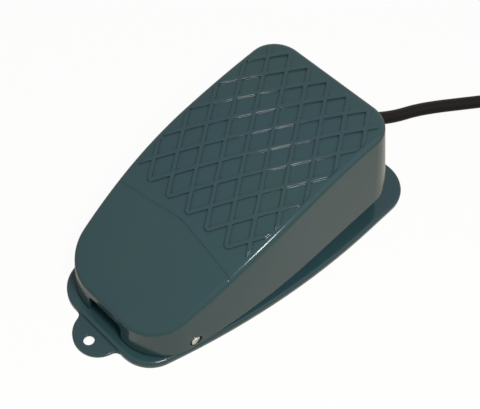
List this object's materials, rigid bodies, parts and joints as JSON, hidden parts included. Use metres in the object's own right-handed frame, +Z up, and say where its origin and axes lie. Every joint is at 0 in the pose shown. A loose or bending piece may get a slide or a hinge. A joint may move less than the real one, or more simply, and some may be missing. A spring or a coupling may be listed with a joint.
{
  "type": "foot switch",
  "caption": "Foot switch: an arched metal pedal with a diamond tread, hinged at its low front end over a base tray, with a snap switch and a return spring inside and a coiled lead.",
  "frame": {"origin": "centre of the box around the pedal and base, on the floor, without the lead", "axes": "+X along the pedal from its low hinged end towards the high end where the lead leaves, +Z up"},
  "size_m": [0.3435, 0.1131, 0.0509],
  "materials": {
    "enamel_pedal": "glossy hammered teal-grey enamel on a die casting",
    "enamel_base": "the same glossy enamel on pressed steel",
    "bright_steel": "bright drawn steel",
    "spring_steel": "spring steel",
    "zinc_steel": "zinc-plated steel",
    "black_phenolic": "moulded black phenolic",
    "brown_phenolic": "moulded brown phenolic",
    "red_plastic": "red nylon plunger",
    "tinned_brass": "tinned brass",
    "bright_brass": "bright brass",
    "clear_sleeve": "milky soft sleeve",
    "pressboard": "grey-brown pressboard",
    "lead_rubber": "near-black rubber sheath",
    "bush_rubber": "black moulded rubber",
    "clamp_plastic": "black nylon",
    "tie_plastic": "black plastic tie",
    "core_brown": "brown core insulation",
    "core_blue": "blue core insulation",
    "core_green": "green and yellow core insulation"
  },
  "bodies": {
    "base": {"base_plate": "enamel_base", "hinge_pin": "bright_steel", "pin_clips": "spring_steel", "spring_cup": "zinc_steel", "return_spring": "spring_steel", "switch_case": "black_phenolic", "switch_cover": "brown_phenolic", "lever_pin": "bright_steel", "terminal_common": "tinned_brass", "terminal_closed": "tinned_brass", "terminal_open": "tinned_brass", "terminal_sleeves": "clear_sleeve", "switch_bracket": "zinc_steel", "switch_screws": "zinc_steel", "switch_nuts": "zinc_steel", "bracket_rivets": "zinc_steel", "pedal_stop": "zinc_steel", "stop_rivets": "zinc_steel", "insulating_sheet": "pressboard", "lead_sheath": "lead_rubber", "lead_bush": "bush_rubber", "cable_clamp": "clamp_plastic", "clamp_screws": "zinc_steel", "earth_screw": "bright_brass", "earth_ring": "tinned_brass", "core_common": "core_brown", "core_switched": "core_blue", "core_earth": "core_green", "lead": "lead_rubber", "lead_coil": "lead_rubber", "coil_tie": "tie_plastic", "bare_cores": "core_brown", "core_ferrules": "tinned_brass"},
    "pedal": {"pedal": "enamel_pedal"},
    "lever": {"switch_lever": "spring_steel"},
    "button": {"switch_button": "red_plastic"}
  },
  "joints": [
    {"name": "pedal_hinge", "type": "hinge", "parent": "base", "child": "pedal", "pos_m": [-0.0445, 0, 0.0082], "axis": [0, 1, 0], "range_deg": [0, 4.5], "stiffness_Nm_per_rad": 3, "springref_deg": -8.59, "deforming": ["return_spring"]},
    {"name": "lever_hinge", "type": "hinge", "parent": "base", "child": "lever", "pos_m": [0.0132, -0.0008, 0.0259], "axis": [0, 1, 0], "range_deg": [-7.5, 0]},
    {"name": "button_slide", "type": "slide", "parent": "base", "child": "button", "axis": [0, 0, -1], "range_m": [0, 0.0012]}
  ],
  "couplings": [
    {"joint": "lever_hinge", "follows": "pedal_hinge", "ratio": -1.5},
    {"joint": "button_slide", "follows": "pedal_hinge", "m_per_rad": 0.0108}
  ]
}
